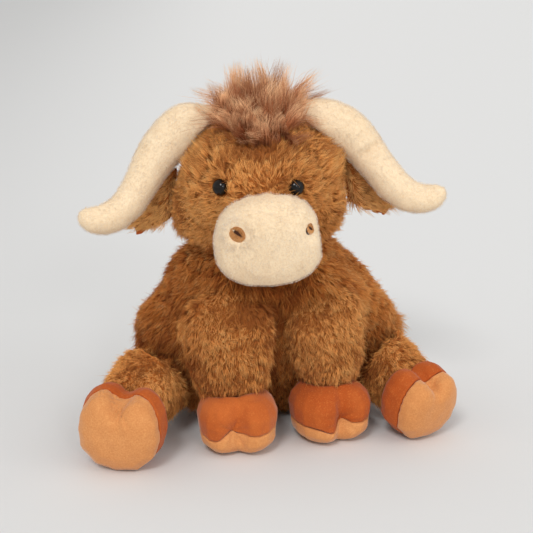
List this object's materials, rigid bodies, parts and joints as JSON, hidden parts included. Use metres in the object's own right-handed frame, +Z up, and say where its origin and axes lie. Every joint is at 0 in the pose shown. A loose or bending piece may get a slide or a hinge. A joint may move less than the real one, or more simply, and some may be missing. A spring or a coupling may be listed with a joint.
{
  "type": "plush long-horned bull",
  "caption": "Soft seated plush bull with long cream horns, a cream muzzle, shaggy brown pile, hanging ears, cloven velour hooves and a tufted tail.",
  "frame": {"origin": "on the floor, under the middle of the footprint of everything the bull is made of, in millimetres in the source and metres here", "axes": "+Z up, the bull faces -Y, and its own left side is +X"},
  "size_m": [0.2866, 0.2158, 0.2794],
  "materials": {
    "brown_plush": "shaggy pile",
    "long_pile": "long brushed pile",
    "cream_velour": "short velour",
    "rust_velour": "short velour",
    "amber_velour": "short velour",
    "stitching": "satin stitch",
    "black_plastic": "polished",
    "washer_plastic": "moulded"
  },
  "bodies": {
    "torso": {"torso": "brown_plush"},
    "head": {"eye_right": "black_plastic", "eye_washer_right": "washer_plastic", "eye_left": "black_plastic", "eye_washer_left": "washer_plastic", "head": "brown_plush", "nostril_right": "stitching", "nostril_left": "stitching", "muzzle": "cream_velour", "horn_right": "cream_velour", "horn_left": "cream_velour", "forelock": "long_pile"},
    "ear_left": {"ear_left": "brown_plush", "ear_lining_left": "rust_velour"},
    "ear_right": {"ear_right": "brown_plush", "ear_lining_right": "rust_velour"},
    "front_leg_left": {"front_leg_left": "brown_plush", "front_hoof_left": "rust_velour", "front_sole_left": "amber_velour"},
    "front_leg_right": {"front_leg_right": "brown_plush", "front_hoof_right": "rust_velour", "front_sole_right": "amber_velour"},
    "hind_leg_left": {"hind_leg_left": "brown_plush", "hind_hoof_left": "rust_velour", "hind_sole_left": "amber_velour"},
    "hind_leg_right": {"hind_leg_right": "brown_plush", "hind_hoof_right": "rust_velour", "hind_sole_right": "amber_velour"},
    "tail": {"tail": "brown_plush", "tail_tuft": "long_pile"}
  },
  "joints": [
    {"name": "head_turn", "type": "hinge", "parent": "torso", "child": "head", "pos_m": [0.01009, -0.00071, 0.16], "axis": [0, 0, 1], "range_deg": [-10, 30], "stiffness_Nm_per_rad": 0.15},
    {"name": "ear_flap_left", "type": "hinge", "parent": "head", "child": "ear_left", "pos_m": [0.05873, -0.01335, 0.19767], "axis": [-0.4784, 0.0844, -0.8741], "range_deg": [-20, 20], "stiffness_Nm_per_rad": 0.02},
    {"name": "ear_flap_right", "type": "hinge", "parent": "head", "child": "ear_right", "pos_m": [-0.04355, 0.00468, 0.19223], "axis": [-0.6206, 0.1094, 0.7764], "range_deg": [-20, 20], "stiffness_Nm_per_rad": 0.02},
    {"name": "front_leg_swing_left", "type": "hinge", "parent": "torso", "child": "front_leg_left", "pos_m": [0.04862, -0.03471, 0.117], "axis": [-1, 0, 0], "range_deg": [0, 40]},
    {"name": "front_leg_swing_right", "type": "hinge", "parent": "torso", "child": "front_leg_right", "pos_m": [-0.02876, -0.03471, 0.117], "axis": [-1, 0, 0], "range_deg": [0, 40]},
    {"name": "hind_leg_lift_left", "type": "hinge", "parent": "torso", "child": "hind_leg_left", "pos_m": [0.10188, 0.00929, 0.047], "axis": [-1, 0, 0], "range_deg": [0, 30]},
    {"name": "hind_leg_lift_right", "type": "hinge", "parent": "torso", "child": "hind_leg_right", "pos_m": [-0.08664, 0.00929, 0.043], "axis": [-1, 0, 0], "range_deg": [0, 30]},
    {"name": "tail_lift", "type": "hinge", "parent": "torso", "child": "tail", "pos_m": [0.00953, 0.08227, 0.06377], "axis": [1, 0, 0], "range_deg": [0, 60]}
  ]
}
